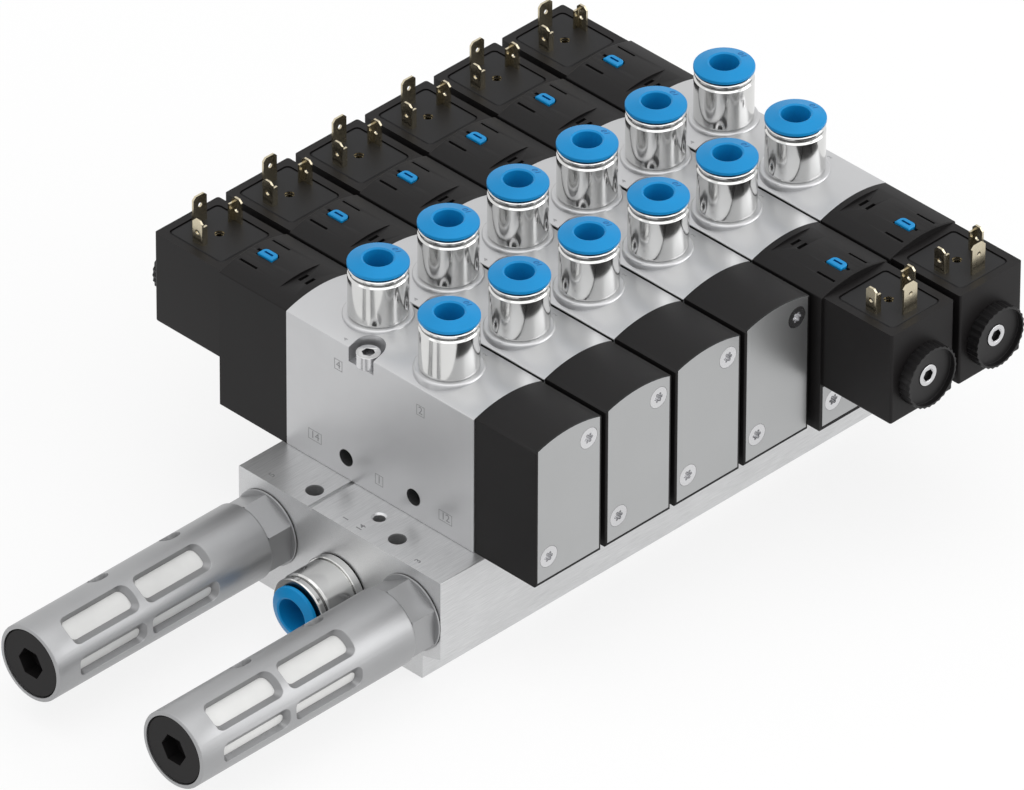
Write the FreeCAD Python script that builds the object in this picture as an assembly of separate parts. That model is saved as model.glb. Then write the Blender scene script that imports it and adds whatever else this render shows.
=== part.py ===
import FreeCAD, Part
import math
import os

os.makedirs("parts", exist_ok=True)

# Pneumatic valve island: six crowned spool valves on one aluminium manifold rail.
# Millimetres. +X runs along the valve row away from the silencers, +Y points to the
# rear solenoids, +Z is up. The origin is the middle of the rail's underside.

# Valve row
valve_count = 6
valve_pitch = 33.0
valve_width = 32.0
twin_solenoid_valves = (5, 6)

# Valve bodies
body_length = 88.8
body_side_height = 54.4
crown_rise = 2.8
body_offset = 1.1
body_edge_round = 0.4
port_spacing = 38.7
port_stagger = 5.12
boss_diameter = 24.5
boss_height = 0.6
boss_edge_round = 0.9
port_thread_diameter = 16.6
port_thread_depth = 11.0
port_passage_diameter = 8.0
rail_passage_diameter = 7.0
rail_passage_spacing = 32.0
side_hole_diameter = 6.2
side_hole_spacing = 32.0
side_hole_height = 8.5
gasket_thickness = 0.8
gasket_margin = 2.5

# Spools
spool_diameter = 14.0
spool_waist = 8.6
spool_land_length = 7.0
spool_height = 27.0
spool_travel = 3.2
spool_end_space = 0.6
spool_clearance = 0.06

# Retaining screws, one in a notch on each side of a valve
screw_inset = 3.45
screw_offset = 8.8
notch_radius = 5.9
screw_head_diameter = 8.5
screw_head_height = 5.0
screw_diameter = 5.0
screw_hole_diameter = 5.5
screw_key = 4.0
screw_below_crest = 3.4
screw_reach_in_rail = 9.0

# Manifold rail
rail_width = 96.0
rail_height = 43.2
rail_end_margin = 20.2
lip_height = 31.4
undercut_drop = 2.4
foot_inset = 8.4
rail_edge_round = 0.4
mount_hole_diameter = 6.4
mount_hole_from_end = 7.9
mount_hole_spacing = 39.4
pilot_port_diameter = 4.2
pilot_port_depth = 9.0
pilot_port_chamfer = 0.65
pilot_port_from_end = 12.4
pilot_port_offset = -6.6
groove_offset = 14.0
groove_width = 1.8
groove_depth = 1.2
supply_channel_height = 16.8
exhaust_channel_height = 24.8
exhaust_channel_spacing = 68.2
channel_diameter = 15.0
rail_thread_diameter = 20.6
rail_thread_depth = 15.0

# End caps and their plates
cap_depth = 28.6
cap_inset = 0.5
cap_edge_round = 0.6
plate_thickness = 0.8
plate_side_margin = 1.0
plate_foot_margin = 1.3
plate_screw_diameter = 7.9
plate_screw_length = 9.0
plate_screw_shank = 4.0
plate_screw_spread = 18.6
plate_screw_low = 9.9
plate_screw_drop = 5.6
torx_radius = 2.0
torx_depth = 1.6

# Pilot housings
pilot_depth = 32.4
pilot_edge_round = 0.5
label_pocket_start = 2.5
label_pocket_length = 7.2
label_pocket_depth = 1.0
vent_bar_length = 4.3
vent_bar_width = 1.3
vent_bar_places = (4.9, 8.0)
guide_slot_length = 8.2
guide_slot_width = 0.9
guide_slot_offset = 7.7
guide_slot_from_end = 1.8
guide_slot_depth = 2.0
override_from_end = 7.8
override_length = 6.7
override_width = 4.1
override_corner = 1.9
override_depth = 6.0
override_sunk = 0.3
override_travel = 1.2
override_clearance = 0.45
override_slot_length = 3.9
override_slot_width = 0.8
keyway_width = 1.2
keyway_length = 1.5
pilot_plate_gap = 0.6

# Solenoid coils
coil_width = 30.0
coil_depth = 32.0
coil_foot_height = 18.0
coil_edge_round = 1.0
coil_axis_height = 32.6
contact_field_width = 23.8
contact_field_margin = 3.0
contact_field_round = 2.0
contact_field_depth = 0.6
contact_insert_diameter = 3.4
contact_insert_wall = 0.45
contact_insert_length = 5.0
contact_insert_sunk = 0.4
blade_thickness = 0.8
blade_root = 2.4
blade_chamfer = 1.2
blade_bend = 0.7
blade_hole_diameter = 1.8
earth_blade_width = 6.3
earth_blade_height = 11.8
earth_blade_offset = 9.6
earth_hole_height = 7.8
line_blade_spacing = 18.4
line_blade_width = 4.6
line_blade_height = 10.2
line_blade_offset = 0.8
line_hole_height = 5.4
line_leg_length = 2.6
line_leg_height = 7.9
armature_tube_diameter = 12.8
armature_seat_depth = 12.0
armature_stub_diameter = 8.0
armature_stub_hole = 4.8
armature_stub_hole_depth = 4.5
armature_stub_sunk = 2.0
nut_diameter = 23.2
nut_length = 4.9
nut_recess_diameter = 21.2
nut_recess_depth = 2.4
nut_ridges = 30
nut_ridge_height = 0.45

# Push-in fittings of the valve ports
port_tube_diameter = 10.2
fitting_diameter = 20.9
fitting_height = 16.2
fitting_bevel = 0.6
neck_diameter = 19.0
neck_height = 0.9
nose_diameter = 20.6
nose_height = 1.3
sleeve_wall = 1.2
sleeve_reach = 9.5
socket_floor = 3.0
fitting_passage = 8.0
collar_diameter = 21.2
collar_edge = 1.3
collar_edge_round = 0.3
collar_dome = 1.3
collar_press = 0.5
collar_rest_gap = 0.8
collar_clearance = 0.3

# Supply fitting on the rail's end
supply_tube_diameter = 12.4
supply_flange_diameter = 25.6
supply_flange_length = 2.6
supply_groove_length = 0.4
supply_groove_depth = 0.5
supply_fitting_diameter = 25.0
supply_fitting_length = 15.0
supply_neck_diameter = 23.0
supply_nose_diameter = 24.4
supply_nose_length = 2.4
supply_collar_diameter = 20.4
supply_passage = 11.0

# Silencers
silencer_length = 110.5
silencer_diameter = 28.4
silencer_wall = 2.4
silencer_front_round = 0.5
silencer_rear_round = 1.2
silencer_hex_flats = 24.0
silencer_hex_length = 10.3
slot_rows = 2
slot_pitch = 33.4
slot_length = 31.0
slot_corner = 3.2
slot_root_corner = 1.2
slot_end_slope = 0.68
slot_from_front = 9.7
upper_slot_angle = 56.5
upper_slot_width = 11.0
lower_slot_angle = 0.8
lower_slot_width = 7.7
slot_steep_slope = 1.5
slot_plain_slope = 0.5
vent_angle = 119.0
vent_width = 6.6
vent_length = 7.6
vent_past_slot = 0.9
vent_slope = 0.3
insert_wall = 3.4
insert_clearance = 0.1
plug_diameter = 25.4
plug_depth = 7.0
plug_sunk = 0.3
plug_hex_flats = 10.0
plug_hex_depth = 5.6

# Seal rings under the silencers and the supply fitting
end_seal_thickness = 0.9
silencer_seal_diameter = 28.2
supply_seal_diameter = 26.2

# Blanking plugs on the rail's far end
blank_flange_diameter = 27.0
blank_flange_thickness = 3.2
blank_hex_flats = 10.0
blank_hex_depth = 6.0

# Shared clearances
thread_clearance = 0.1
seat_clearance = 0.2

# Sizes worked out from the ones above
row_length = (valve_count - 1) * valve_pitch + valve_width
rail_length = row_length + 2 * rail_end_margin
rail_end = rail_length / 2
body_front = body_offset - body_length / 2
body_rear = body_offset + body_length / 2
half_valve = valve_width / 2
crest = rail_height + body_side_height + crown_rise
crown_radius = (half_valve ** 2 + crown_rise ** 2) / (2 * crown_rise)
boss_top = crest + boss_height
spool_axis = rail_height + spool_height
coil_axis = rail_height + coil_axis_height
coil_top = rail_height + body_side_height
coil_bottom = rail_height + coil_foot_height
spool_length = body_length - spool_travel - 2 * spool_end_space
sleeve_diameter = port_tube_diameter + 2 * sleeve_wall
collar_bottom = fitting_height + neck_height + nose_height + collar_rest_gap
supply_collar_start = supply_fitting_length + neck_height + supply_nose_length + collar_rest_gap

upright = FreeCAD.Rotation()
toward_left = FreeCAD.Rotation(FreeCAD.Vector(0, 1, 0), -90)
toward_right = FreeCAD.Rotation(FreeCAD.Vector(0, 1, 0), 90)


def valve_x(number):
    return (number - 1 - (valve_count - 1) / 2) * valve_pitch


def crown_drop(distance):
    return crown_radius - math.sqrt(crown_radius ** 2 - distance ** 2)


def outward_turn(outward):
    # turns a shape built along +Z so that it points along +Y or -Y
    return FreeCAD.Rotation(FreeCAD.Vector(1, 0, 0), -90 * outward)


def block(x_low, x_high, y_low, y_high, z_low, z_high):
    y_low, y_high = min(y_low, y_high), max(y_low, y_high)
    corner = FreeCAD.Vector(x_low, y_low, z_low)
    return Part.makeBox(x_high - x_low, y_high - y_low, z_high - z_low, corner)


def rod(diameter, low, high, base, turn):
    shape = Part.makeCylinder(diameter / 2, high - low, FreeCAD.Vector(0, 0, low))
    return placed(shape, base, turn)


def placed(shape, base, turn):
    shape = shape.copy()
    shape.Placement = FreeCAD.Placement(FreeCAD.Vector(*base), turn)
    return shape


def turned(profile):
    # a closed outline of (radius, height) points spun about Z
    points = [FreeCAD.Vector(radius, 0, height) for radius, height in profile]
    face = Part.Face(Part.makePolygon(points + points[:1]))
    return face.revolve(FreeCAD.Vector(0, 0, 0), FreeCAD.Vector(0, 0, 1), 360)


def hexagon(flats, low, high, first_angle):
    corner = flats / math.sqrt(3)
    points = []
    for step in range(6):
        angle = math.radians(first_angle + 60 * step)
        points.append(FreeCAD.Vector(corner * math.cos(angle), corner * math.sin(angle), low))
    face = Part.Face(Part.makePolygon(points + points[:1]))
    return face.extrude(FreeCAD.Vector(0, 0, high - low))


def round_oblong(length, width, radius, height):
    # a prism along Z, its length along X, with all four upright edges rounded
    prism = Part.makeBox(length, width, height, FreeCAD.Vector(-length / 2, -width / 2, 0))
    upright_edges = [edge for edge in prism.Edges if abs(edge.tangentAt(edge.FirstParameter).z) > 0.9]
    return prism.makeFillet(radius, upright_edges)


def crowned_prism(x_centre, half_width, y_low, y_high, z_low):
    # the common outline of body, cap and housing: flat sides under one shallow arc
    y_low, y_high = min(y_low, y_high), max(y_low, y_high)
    shoulder = crest - crown_drop(half_width)
    left_low = FreeCAD.Vector(x_centre - half_width, y_low, z_low)
    right_low = FreeCAD.Vector(x_centre + half_width, y_low, z_low)
    right_top = FreeCAD.Vector(x_centre + half_width, y_low, shoulder)
    left_top = FreeCAD.Vector(x_centre - half_width, y_low, shoulder)
    middle = FreeCAD.Vector(x_centre, y_low, crest)
    edges = [
        Part.makeLine(left_low, right_low),
        Part.makeLine(right_low, right_top),
        Part.Arc(right_top, middle, left_top).toShape(),
        Part.makeLine(left_top, left_low),
    ]
    face = Part.Face(Part.Wire(edges))
    return face.extrude(FreeCAD.Vector(0, y_high - y_low, 0))


def long_edges(prism):
    return [edge for edge in prism.Edges if abs(edge.tangentAt(edge.FirstParameter).y) > 0.9]


def shoulder_edges(prism):
    # the two long edges where a crowned prism's sides meet its arc
    return [edge for edge in long_edges(prism) if edge.CenterOfMass.z > rail_height + 1]


def port_places(number):
    # the rear port sits right of the valve's middle, the front one left of it
    x = valve_x(number)
    rear = (x + port_stagger / 2, body_offset + port_spacing / 2)
    front = (x - port_stagger / 2, body_offset - port_spacing / 2)
    return {"rear": rear, "front": front}


def screw_places(number):
    x = valve_x(number)
    reach = half_valve - screw_inset
    return [(x - reach, body_offset + screw_offset), (x + reach, body_offset - screw_offset)]


def passage_places():
    return [body_offset + step * rail_passage_spacing for step in (-1, 0, 1)]


def screw_notch(x, y, number):
    # an open pocket that runs out of the valve's side
    floor = crest - screw_below_crest - screw_head_height
    pocket = rod(2 * notch_radius, floor, crest + boss_height + 1, (x, y, 0), upright)
    side = 1 if x > valve_x(number) else -1
    outside = valve_x(number) + side * (half_valve + 1)
    mouth = block(min(x, outside), max(x, outside), y - notch_radius, y + notch_radius, floor, crest + 1)
    return pocket.fuse(mouth)


def valve_body(number):
    x = valve_x(number)
    body = crowned_prism(x, half_valve, body_front, body_rear, rail_height)
    body = body.makeFillet(body_edge_round, long_edges(body))
    cuts = []
    for port_x, port_y in port_places(number).values():
        boss = rod(boss_diameter, coil_top - 2, boss_top, (port_x, port_y, 0), upright)
        rim = [edge for edge in boss.Edges if edge.BoundBox.ZMin > boss_top - 0.01]
        body = body.fuse(boss.makeFillet(boss_edge_round, rim))
        thread_floor = boss_top - port_thread_depth
        cuts.append(rod(port_thread_diameter, thread_floor, boss_top + 1, (port_x, port_y, 0), upright))
        cuts.append(rod(port_passage_diameter, spool_axis, boss_top, (port_x, port_y, 0), upright))
    bore = spool_diameter + 2 * spool_clearance
    cuts.append(rod(bore, body_front - 1, body_rear + 1, (x, 0, spool_axis), outward_turn(1)))
    for passage_y in passage_places():
        cuts.append(rod(rail_passage_diameter, rail_height - 1, spool_axis, (x, passage_y, 0), upright))
    for screw_x, screw_y in screw_places(number):
        cuts.append(screw_notch(screw_x, screw_y, number))
        cuts.append(rod(screw_hole_diameter, rail_height - 1, crest, (screw_x, screw_y, 0), upright))
    hole_z = rail_height + side_hole_height
    for step in (-1, 1):
        hole_y = body_offset + step * side_hole_spacing / 2
        cuts.append(rod(side_hole_diameter, -half_valve - 1, half_valve + 1, (x, hole_y, hole_z), toward_right))
    cuts.append(gasket_blank(number, 0.0))
    for cut in cuts:
        body = body.cut(cut)
    return body.removeSplitter()


def gasket_blank(number, shrink):
    x = valve_x(number)
    half = half_valve - gasket_margin - shrink
    low = body_front + gasket_margin + shrink
    high = body_rear - gasket_margin - shrink
    return block(x - half, x + half, low, high, rail_height, rail_height + gasket_thickness)


def rail_gasket(number):
    gasket = gasket_blank(number, seat_clearance)
    low = rail_height - 1
    high = rail_height + gasket_thickness + 1
    for passage_y in passage_places():
        gasket = gasket.cut(rod(rail_passage_diameter, low, high, (valve_x(number), passage_y, 0), upright))
    for screw_x, screw_y in screw_places(number):
        gasket = gasket.cut(rod(screw_hole_diameter + 1, low, high, (screw_x, screw_y, 0), upright))
    return gasket


def spool(number):
    # a shaft with five lands; it starts hard against its rear end space
    radius = spool_diameter / 2
    waist = spool_waist / 2
    gap = (spool_length - 5 * spool_land_length) / 4
    outline = [(0, 0)]
    height = 0.0
    for land in range(5):
        outline += [(radius, height), (radius, height + spool_land_length)]
        height += spool_land_length
        if land < 4:
            outline += [(waist, height), (waist, height + gap)]
            height += gap
    outline.append((0, height))
    start = body_rear - spool_end_space - spool_length
    return placed(turned(outline), (valve_x(number), start, spool_axis), outward_turn(1))


def retaining_screw(x, y):
    seat = crest - screw_below_crest - screw_head_height
    foot = rail_height - screw_reach_in_rail
    head = rod(screw_head_diameter, seat, seat + screw_head_height, (x, y, 0), upright)
    shank = rod(screw_diameter, foot, seat, (x, y, 0), upright)
    key = hexagon(screw_key, seat + screw_head_height / 2, seat + screw_head_height + 1, 0)
    return head.fuse(shank).cut(placed(key, (x, y, 0), upright)).removeSplitter()


def rail_profile():
    half = rail_width / 2
    foot = half - foot_inset
    lip_foot = rail_height - lip_height
    return [
        (-foot, 0), (foot, 0), (foot, lip_foot - undercut_drop), (half, lip_foot),
        (half, rail_height), (-half, rail_height), (-half, lip_foot), (-foot, lip_foot - undercut_drop),
    ]


def exhaust_places():
    return [(step * exhaust_channel_spacing / 2, exhaust_channel_height) for step in (1, -1)]


def channel_places():
    return [(0.0, supply_channel_height)] + exhaust_places()


def mount_hole_places():
    reach = rail_end - mount_hole_from_end
    return [(sx * reach, sy * mount_hole_spacing / 2) for sx in (-1, 1) for sy in (-1, 1)]


def manifold_rail():
    points = [FreeCAD.Vector(-rail_end, y, z) for y, z in rail_profile()]
    face = Part.Face(Part.makePolygon(points + points[:1]))
    rail = face.extrude(FreeCAD.Vector(rail_length, 0, 0))
    full_length_edges = [edge for edge in rail.Edges if edge.Length > rail_length - 1]
    rail = rail.makeFillet(rail_edge_round, full_length_edges)
    cuts = [block(-rail_end - 1, rail_end + 1, groove_offset - groove_width / 2,
                  groove_offset + groove_width / 2, rail_height - groove_depth, rail_height + 1)]
    for y, z in channel_places():
        cuts.append(rod(channel_diameter, -rail_end - 1, rail_end + 1, (0, y, z), toward_right))
        for turn, end in ((toward_left, -rail_end), (toward_right, rail_end)):
            cuts.append(rod(rail_thread_diameter, -rail_thread_depth, 1, (end, y, z), turn))
    for x, y in mount_hole_places():
        cuts.append(rod(mount_hole_diameter, -1, rail_height + 1, (x, y, 0), upright))
    pilot_x = -rail_end + pilot_port_from_end
    mouth = (pilot_x, pilot_port_offset, rail_height)
    cuts.append(rod(pilot_port_diameter, -pilot_port_depth, 1, mouth, upright))
    radius = pilot_port_diameter / 2
    sink = turned([(0, -pilot_port_chamfer), (radius, -pilot_port_chamfer), (radius + pilot_port_chamfer, 0), (0, 0)])
    cuts.append(placed(sink, mouth, upright))
    for number in range(1, valve_count + 1):
        channel_z = {-1: exhaust_channel_height, 0: supply_channel_height, 1: exhaust_channel_height}
        for step, passage_y in zip((-1, 0, 1), passage_places()):
            cuts.append(rod(rail_passage_diameter, channel_z[step], rail_height + 1,
                            (valve_x(number), passage_y, 0), upright))
        for screw_x, screw_y in screw_places(number):
            foot = rail_height - screw_reach_in_rail - 1
            hole = screw_diameter + 2 * thread_clearance
            cuts.append(rod(hole, foot, rail_height + 1, (screw_x, screw_y, 0), upright))
    for cut in cuts:
        rail = rail.cut(cut)
    return rail.removeSplitter()


def plate_outline(number, half_width, y_low, y_high, foot, top):
    # a thin plate; its upper edge follows the crown unless top cuts it short
    plate = crowned_prism(valve_x(number), half_width, y_low, y_high, foot)
    if top is None:
        return plate
    return plate.common(block(valve_x(number) - half_width, valve_x(number) + half_width, y_low, y_high, foot, top))


def plate_screw_places(number, short):
    x = valve_x(number)
    low = (x - plate_screw_spread / 2, rail_height + plate_screw_low)
    high = (x + plate_screw_spread / 2, coil_top - plate_screw_drop)
    return [low] if short else [low, high]


def plate_screw(x, z, face_y, outward):
    # countersunk head with a six-lobed recess, its flat level with the plate
    radius = plate_screw_diameter / 2
    shank = plate_screw_shank / 2
    cone = radius - shank
    length = plate_screw_length
    outline = [(0, -length), (shank, -length), (shank, -cone - 0.3), (radius, -0.3), (radius, 0), (0, 0)]
    screw = turned(outline)
    recess = rod(2 * torx_radius * 0.72, -torx_depth, 1, (0, 0, 0), upright)
    for step in range(6):
        angle = math.radians(60 * step)
        lobe_x = torx_radius * 0.72 * math.cos(angle)
        lobe_y = torx_radius * 0.72 * math.sin(angle)
        recess = recess.fuse(rod(torx_radius * 0.56, -torx_depth, 1, (lobe_x, lobe_y, 0), upright))
    return placed(screw.cut(recess), (x, face_y, z), outward_turn(outward))


def screw_seat(x, z, face_y, outward):
    radius = plate_screw_diameter / 2 + thread_clearance
    shank = plate_screw_shank / 2 + thread_clearance
    depth = plate_screw_length + 0.5
    cone = radius - shank
    outline = [(0, -depth), (shank, -depth), (shank, -cone - 0.3), (radius, -0.3), (radius, 1), (0, 1)]
    return placed(turned(outline), (x, face_y, z), outward_turn(outward))


def cover_plate(number, face_y, outward, short):
    half = half_valve - cap_inset - plate_side_margin
    back = face_y - outward * plate_thickness
    foot = rail_height + plate_foot_margin
    top = coil_bottom - pilot_plate_gap if short else None
    plate = plate_outline(number, half, back, face_y, foot, top)
    for x, z in plate_screw_places(number, short):
        plate = plate.cut(screw_seat(x, z, face_y, outward))
    return plate


def plate_recess(number, face_y, outward, short):
    half = half_valve - cap_inset - plate_side_margin + thread_clearance
    back = face_y - outward * plate_thickness
    foot = rail_height + plate_foot_margin - thread_clearance
    top = coil_bottom - pilot_plate_gap + thread_clearance if short else crest + 1
    x = valve_x(number)
    return block(x - half, x + half, back, face_y + outward, foot, top)


def end_cap(number):
    face_y = body_front - cap_depth
    cap = crowned_prism(valve_x(number), half_valve - cap_inset, face_y, body_front, rail_height)
    rim = [edge for edge in cap.Edges if edge.BoundBox.YMax < face_y + 0.01]
    cap = cap.makeFillet(cap_edge_round, rim)
    cap = cap.cut(plate_recess(number, face_y, -1, False))
    for x, z in plate_screw_places(number, False):
        cap = cap.cut(screw_seat(x, z, face_y, -1))
    return cap


def pilot_top(distance_x):
    return crest - crown_drop(abs(distance_x))


def override_outline(grow, height):
    # an oblong with its two corners on the +X side rounded, length along Y
    half_x = override_width / 2 + grow
    half_y = override_length / 2 + grow
    prism = Part.makeBox(2 * half_x, 2 * half_y, height, FreeCAD.Vector(-half_x, -half_y, 0))
    edges = []
    for edge in prism.Edges:
        centre = edge.CenterOfMass
        if abs(edge.tangentAt(edge.FirstParameter).z) > 0.9 and centre.x > 0:
            edges.append(edge)
    return prism.makeFillet(override_corner + grow, edges)


def override_place(number, inner_y, outward):
    y = inner_y + outward * (pilot_depth - override_from_end)
    return (valve_x(number), y, crest - override_sunk)


def pilot_housing(number, inner_y, outward):
    x = valve_x(number)
    face_y = inner_y + outward * pilot_depth
    housing = crowned_prism(x, half_valve - thread_clearance, inner_y, face_y, rail_height)
    outer_rim = [edge for edge in housing.Edges if isinstance(edge.Curve, Part.Circle)
                 and abs(edge.CenterOfMass.y - face_y) < 0.01]
    housing = housing.makeFillet(pilot_edge_round, shoulder_edges(housing) + outer_rim)
    cuts = []
    pocket_low = inner_y + outward * label_pocket_start
    pocket_high = pocket_low + outward * label_pocket_length
    pocket_floor = crest - label_pocket_depth
    cuts.append(block(x - half_valve, x + half_valve, pocket_low, pocket_high, pocket_floor, crest + 1))
    for place in vent_bar_places:
        bar_y = inner_y + outward * place
        cuts.append(block(x - vent_bar_length / 2, x + vent_bar_length / 2, bar_y - vent_bar_width / 2,
                          bar_y + vent_bar_width / 2, pocket_floor - guide_slot_depth, crest))
    slot_low = face_y - outward * (guide_slot_from_end + guide_slot_length)
    slot_high = face_y - outward * guide_slot_from_end
    for side in (-1, 1):
        slot_x = x + side * guide_slot_offset
        slot_floor = pilot_top(guide_slot_offset) - guide_slot_depth
        cuts.append(block(slot_x - guide_slot_width / 2, slot_x + guide_slot_width / 2,
                          slot_low, slot_high, slot_floor, crest + 1))
    button_x, button_y, button_top = override_place(number, inner_y, outward)
    well_depth = override_depth + override_travel + override_clearance
    well = override_outline(override_clearance, well_depth + 2)
    cuts.append(placed(well, (button_x, button_y, button_top - well_depth), upright))
    key_low = button_y + outward * (override_length / 2)
    key_high = key_low + outward * (override_clearance + keyway_length)
    cuts.append(block(x - keyway_width / 2, x + keyway_width / 2, key_low, key_high, button_top - 2, crest + 1))
    cuts.append(rod(armature_tube_diameter + 2 * thread_clearance, -armature_seat_depth, 1,
                    (x, face_y, coil_axis), outward_turn(outward)))
    cuts.append(plate_recess(number, face_y, outward, True))
    for screw_x, screw_z in plate_screw_places(number, True):
        cuts.append(screw_seat(screw_x, screw_z, face_y, outward))
    for cut in cuts:
        housing = housing.cut(cut)
    return housing.removeSplitter()


def override_button(number, inner_y, outward):
    button = override_outline(0.0, override_depth)
    driver = block(-override_slot_width / 2, override_slot_width / 2, -override_slot_length / 2,
                   override_slot_length / 2, override_depth - 1, override_depth + 1)
    x, y, top = override_place(number, inner_y, outward)
    return placed(button.cut(driver), (x, y, top - override_depth), upright)


def coil_span(inner_y, outward):
    near = inner_y + outward * pilot_depth
    return near, near + outward * coil_depth


def solenoid_coil(number, inner_y, outward):
    x = valve_x(number)
    near, far = coil_span(inner_y, outward)
    coil = block(x - coil_width / 2, x + coil_width / 2, near, far, coil_bottom, coil_top)
    rounded = []
    for edge in coil.Edges:
        centre = edge.CenterOfMass
        if abs(centre.y - near) > 0.1 and centre.z < coil_top - 0.1:
            rounded.append(edge)
    coil = coil.makeFillet(coil_edge_round, rounded)
    middle = (near + far) / 2
    field = round_oblong(contact_field_width, coil_depth - 2 * contact_field_margin,
                         contact_field_round, contact_field_depth + 1)
    coil = coil.cut(placed(field, (x, middle, coil_top - contact_field_depth), upright))
    floor = coil_top - contact_field_depth
    hole_bottom = -contact_insert_sunk - contact_insert_length
    coil = coil.cut(rod(contact_insert_diameter, hole_bottom, 1, (x, middle, floor), upright))
    coil = coil.cut(rod(armature_tube_diameter + 2 * thread_clearance, -1, coil_depth + 1,
                        (x, near, coil_axis), outward_turn(outward)))
    for blade in contact_blades(number, inner_y, outward, thread_clearance / 2):
        coil = coil.cut(blade)
    return coil


def blade(width, height, hole_height, grow):
    # a flat contact standing on Z = 0 with its root below, width along X
    half = width / 2 + grow
    thick = blade_thickness / 2 + grow
    low = -blade_root - grow
    cut = half - blade_chamfer
    points = [(-half, low), (half, low), (half, height - blade_chamfer), (cut, height), (-cut, height),
              (-half, height - blade_chamfer)]
    corners = [FreeCAD.Vector(x, -thick, z) for x, z in points]
    face = Part.Face(Part.makePolygon(corners + corners[:1]))
    solid = face.extrude(FreeCAD.Vector(0, 2 * thick, 0))
    if grow:
        return solid
    return solid.cut(rod(blade_hole_diameter, -2, 2, (0, 0, hole_height), outward_turn(1)))


def line_contact(grow):
    # a blade folded once: a short leg turns off its +X end towards +Y
    leaf = blade(line_blade_width, line_blade_height, line_hole_height, grow)
    end = line_blade_width / 2
    thick = blade_thickness / 2
    leg = block(end - blade_thickness - grow, end + grow, -thick - grow, line_leg_length - thick + grow,
                -blade_root - grow, line_leg_height)
    folded = leaf.fuse(leg).removeSplitter()
    if grow:
        return folded
    bend = []
    for edge in folded.Edges:
        spot = edge.CenterOfMass
        if edge.Length > line_leg_height and abs(spot.x - end) < 0.01 and abs(spot.y + thick) < 0.01:
            bend.append(edge)
    return folded.makeFillet(blade_bend, bend)


def contact_insert(number, inner_y, outward):
    # the threaded brass sleeve in the middle of the contact field
    outer = contact_insert_diameter / 2
    inner = outer - contact_insert_wall
    top = coil_top - contact_field_depth - contact_insert_sunk
    bottom = top - contact_insert_length
    middle = sum(coil_span(inner_y, outward)) / 2
    sleeve = turned([(inner, bottom), (outer, bottom), (outer, top), (inner, top)])
    return placed(sleeve, (valve_x(number), middle, 0), upright)


def contact_blades(number, inner_y, outward, grow):
    # two folded line contacts face each other across the coil; the earth blade is the outer one
    x = valve_x(number)
    near, far = coil_span(inner_y, outward)
    middle = (near + far) / 2
    floor = coil_top - contact_field_depth
    line_y = middle + outward * line_blade_offset
    blades = []
    for side in (-1, 1):
        # the leg lies at the contact's front end on the left and at its rear end on the right
        turn = FreeCAD.Rotation(FreeCAD.Vector(0, 0, 1), 90 * side)
        blades.append(placed(line_contact(grow), (x + side * line_blade_spacing / 2, line_y, floor), turn))
    earth = blade(earth_blade_width, earth_blade_height, earth_hole_height, grow)
    blades.append(placed(earth, (x, middle + outward * earth_blade_offset, floor), upright))
    return blades


def armature_tube(number, inner_y, outward):
    near, far = coil_span(inner_y, outward)
    tube = armature_tube_diameter / 2
    stub = armature_stub_diameter / 2
    hole = armature_stub_hole / 2
    shoulder = coil_depth
    end = coil_depth + nut_length - armature_stub_sunk
    floor = end - armature_stub_hole_depth
    outline = [
        (0, -armature_seat_depth), (tube, -armature_seat_depth), (tube, shoulder), (stub, shoulder),
        (stub, end), (hole, end), (hole, floor), (0, floor),
    ]
    return placed(turned(outline), (valve_x(number), near, coil_axis), outward_turn(outward))


def coil_nut(number, inner_y, outward):
    # serrated rim round a dished face, with the tube's threaded stub in the middle
    near, far = coil_span(inner_y, outward)
    outer = nut_diameter / 2
    points = []
    for step in range(2 * nut_ridges):
        angle = math.pi * step / nut_ridges
        radius = outer if step % 2 == 0 else outer - nut_ridge_height
        points.append(FreeCAD.Vector(radius * math.cos(angle), radius * math.sin(angle), 0))
    face = Part.Face(Part.makePolygon(points + points[:1]))
    nut = face.extrude(FreeCAD.Vector(0, 0, nut_length))
    recess = nut_recess_diameter / 2
    stub = armature_stub_diameter / 2 + thread_clearance
    floor = nut_length - nut_recess_depth
    dish = turned([(0, floor), (stub + 1, floor), (recess, floor + 0.5), (recess, nut_length + 1), (0, nut_length + 1)])
    nut = nut.cut(dish).cut(rod(2 * stub, -1, nut_length + 1, (0, 0, 0), upright))
    return placed(nut, (valve_x(number), far, coil_axis), outward_turn(outward))


def fitting_outline(outer, height, neck, nose, nose_length, tube, passage, shank, shank_length):
    # a turned body on a threaded shank, with a waisted nose, bored for sleeve and tube
    bevel = fitting_bevel
    lip = bevel / 2
    start = height + neck_height
    top = start + nose_length
    sleeve_bore = tube / 2 + sleeve_wall + collar_clearance
    tube_bore = tube / 2 + thread_clearance
    step = top + collar_rest_gap - sleeve_reach - collar_press - collar_clearance
    return [
        (passage / 2, -shank_length), (shank / 2, -shank_length), (shank / 2, 0), (outer / 2 - lip, 0),
        (outer / 2, lip), (outer / 2, height - bevel), (outer / 2 - bevel, height), (neck / 2, height),
        (neck / 2, start), (nose / 2 - lip, start), (nose / 2, start + lip), (nose / 2, top - lip),
        (nose / 2 - lip, top), (sleeve_bore, top), (sleeve_bore, step), (tube_bore, step),
        (tube_bore, socket_floor), (passage / 2, socket_floor),
    ]


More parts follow.
